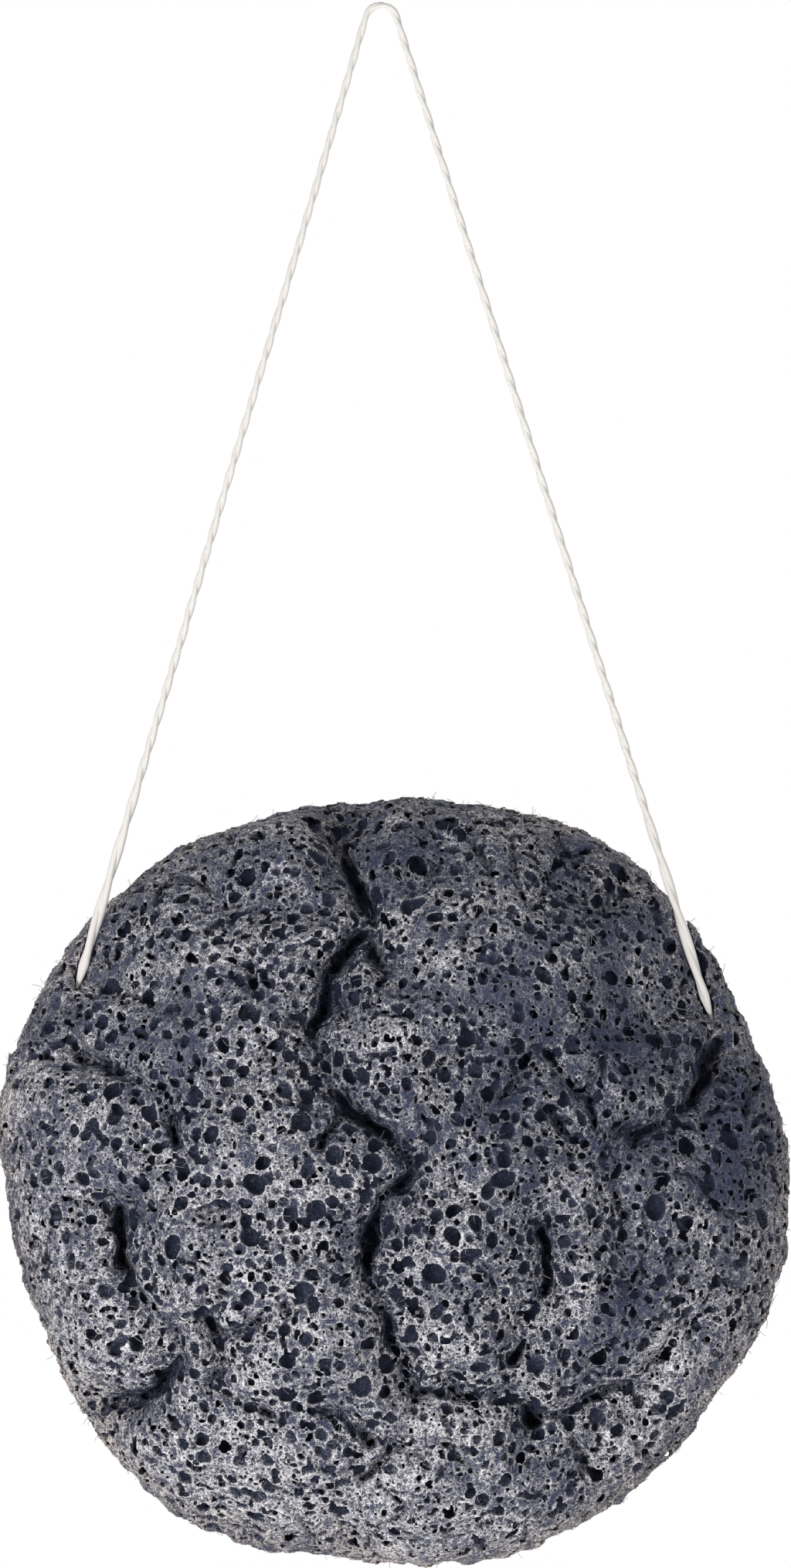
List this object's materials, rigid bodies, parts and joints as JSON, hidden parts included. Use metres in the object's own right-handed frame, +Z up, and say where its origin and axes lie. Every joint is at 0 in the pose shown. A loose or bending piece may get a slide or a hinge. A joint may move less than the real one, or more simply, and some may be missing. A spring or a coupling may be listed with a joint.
{
  "type": "konjac sponge",
  "caption": "Domed, flat-backed konjac face sponge of charcoal foam, hung from a tied loop of thin cotton cord threaded through its top.",
  "frame": {"origin": "the spot on the underside of the cord, at the top of the loop, that bears on a hook", "axes": "+Z up along the plumb line, +Y out of the flat back, so the dome faces -Y, +X to the right seen from the dome"},
  "size_m": [0.0804, 0.0306, 0.1605],
  "materials": {
    "konjac_foam": "open-cell plant-fibre foam, matte, darkened with charcoal",
    "cotton_cord": "two-ply twisted cotton, matte off-white"
  },
  "bodies": {
    "cord": {"cord_loop": "cotton_cord", "cord_thread_left": "cotton_cord", "cord_thread_right": "cotton_cord", "cord_knot": "cotton_cord"},
    "sponge": {"sponge_body": "konjac_foam"}
  },
  "joints": [
    {"name": "sponge_swing", "type": "hinge", "parent": "cord", "child": "sponge", "pos_m": [0.0014, 0, -0.1043], "axis": [-0.999, 0, 0.0457], "range_deg": [-10, 110]}
  ]
}
